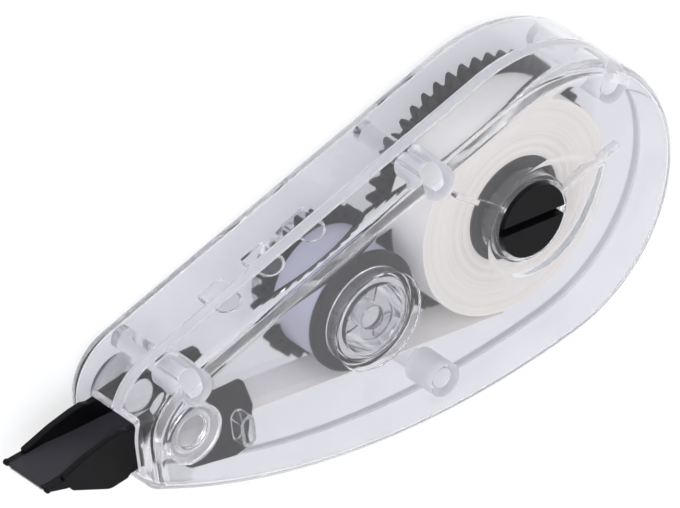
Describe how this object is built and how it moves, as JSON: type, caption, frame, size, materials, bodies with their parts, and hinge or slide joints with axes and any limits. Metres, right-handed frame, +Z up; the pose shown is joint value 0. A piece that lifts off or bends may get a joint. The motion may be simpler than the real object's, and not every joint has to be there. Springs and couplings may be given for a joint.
{
  "type": "correction tape",
  "caption": "Teardrop correction tape in a clear two-part case, with a geared tape roll and take-up drum, a slotted winding knob and a black applicator tip.",
  "frame": {"origin": "the supply reel's axis, on the flat outer face of the back cover that the object lies on", "axes": "+X from the applicator blade towards the tail, +Y towards the straight top wall, +Z up through the thickness towards the front cover and its knob"},
  "size_m": [0.0834, 0.0346, 0.014],
  "materials": {
    "clear_plastic": "clear injection-moulded polystyrene, polished",
    "black_plastic": "black moulded plastic, satin",
    "dark_plastic": "dark grey moulded acetal, satin",
    "ring_rubber": "black rubber, matt",
    "coated_tape": "white correction film on a paper carrier, matt",
    "bare_tape": "bare release carrier, smooth"
  },
  "bodies": {
    "housing": {"back_cover": "clear_plastic", "front_cover": "clear_plastic", "applicator_head": "black_plastic", "tape_feed": "coated_tape", "tape_return": "bare_tape"},
    "supply_drive": {"supply_gear": "dark_plastic", "clutch_ring": "ring_rubber"},
    "supply_reel": {"supply_core": "dark_plastic", "tape_roll": "coated_tape", "winding_knob": "black_plastic"},
    "take_up": {"take_up_gear": "dark_plastic", "take_up_drum": "dark_plastic", "used_tape": "bare_tape"}
  },
  "joints": [
    {"name": "supply_turn", "type": "hinge", "parent": "housing", "child": "supply_drive", "pos_m": [0, 0, 0.0041], "axis": [0, 0, 1], "continuous": true},
    {"name": "take_up_turn", "type": "hinge", "parent": "housing", "child": "take_up", "pos_m": [-0.02145, 0, 0.0041], "axis": [0, 0, 1], "continuous": true},
    {"name": "clutch_slip", "type": "hinge", "parent": "supply_drive", "child": "supply_reel", "pos_m": [0, 0, 0.007], "axis": [0, 0, 1], "continuous": true}
  ],
  "couplings": [
    {"joint": "take_up_turn", "follows": "supply_turn", "ratio": -1.7857}
  ]
}
